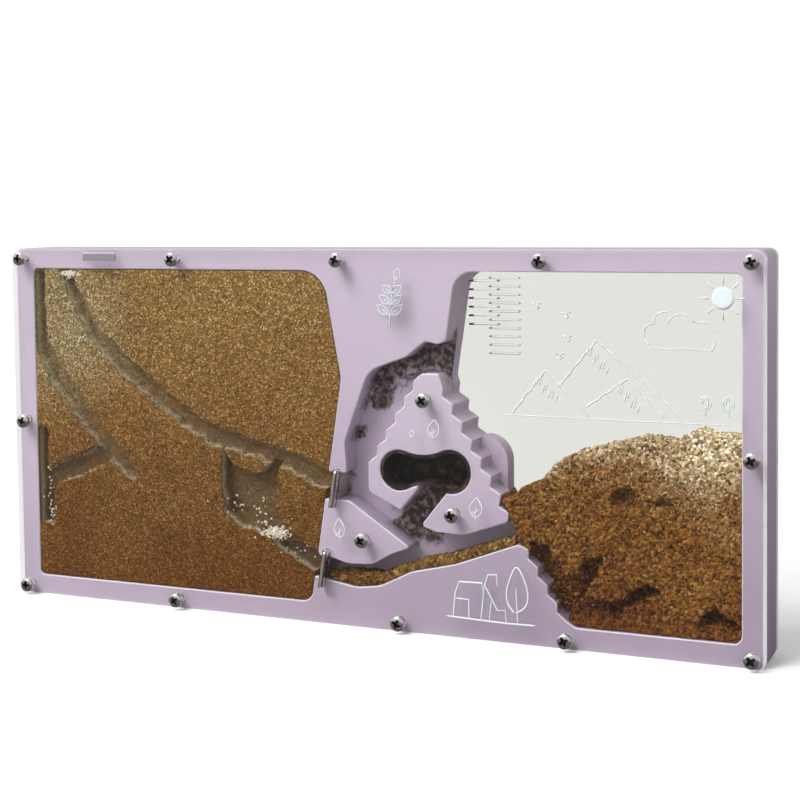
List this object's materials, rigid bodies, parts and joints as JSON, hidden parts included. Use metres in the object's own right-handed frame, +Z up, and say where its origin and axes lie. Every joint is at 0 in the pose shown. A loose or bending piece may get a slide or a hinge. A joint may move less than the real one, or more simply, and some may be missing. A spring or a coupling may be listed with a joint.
{
  "type": "ant habitat",
  "caption": "Upright flat ant habitat: lilac slab between clear covers with a sand nest, an open arena, carved corridors round a stepped island, and sliding steel gates.",
  "frame": {"origin": "middle of the bottom edge, halfway between the outer faces of the two covers", "axes": "+X along the slab to the arena's end, +Y from the front cover to the back cover, +Z up"},
  "size_m": [0.3, 0.0299, 0.14],
  "materials": {
    "clear": "clear polished acrylic sheet",
    "lilac": "moulded pale lilac plastic",
    "steel": "rolled steel sheet",
    "screw": "bright plated steel",
    "nut": "plated steel",
    "liner": "dark damp-stained plastic",
    "grey_plate": "matt grey film plate",
    "nest_sand": "damp fine sand",
    "arena_sand": "damp coarse sand"
  },
  "bodies": {
    "housing": {"front_cover": "clear", "back_cover": "clear", "body_frame": "lilac", "island_block": "lilac", "wedge_block": "lilac", "nest_liner": "liner", "margin_plate": "grey_plate", "nest_sand": "nest_sand", "arena_sand": "arena_sand", "tunnel_sand": "arena_sand", "top_screws": "screw", "bottom_screws": "screw", "side_screws": "screw", "island_screws": "screw", "wedge_screw": "screw", "top_nuts": "nut", "bottom_nuts": "nut", "side_nuts": "nut", "island_nuts": "nut", "wedge_nut": "nut"},
    "upper_gate": {"upper_gate": "steel"},
    "lower_gate": {"lower_gate": "steel"}
  },
  "joints": [
    {"name": "upper_gate_slide", "type": "slide", "parent": "housing", "child": "upper_gate", "axis": [0, -1, 0], "range_m": [0, 0.013]},
    {"name": "lower_gate_slide", "type": "slide", "parent": "housing", "child": "lower_gate", "axis": [0, -1, 0], "range_m": [0, 0.013]}
  ]
}
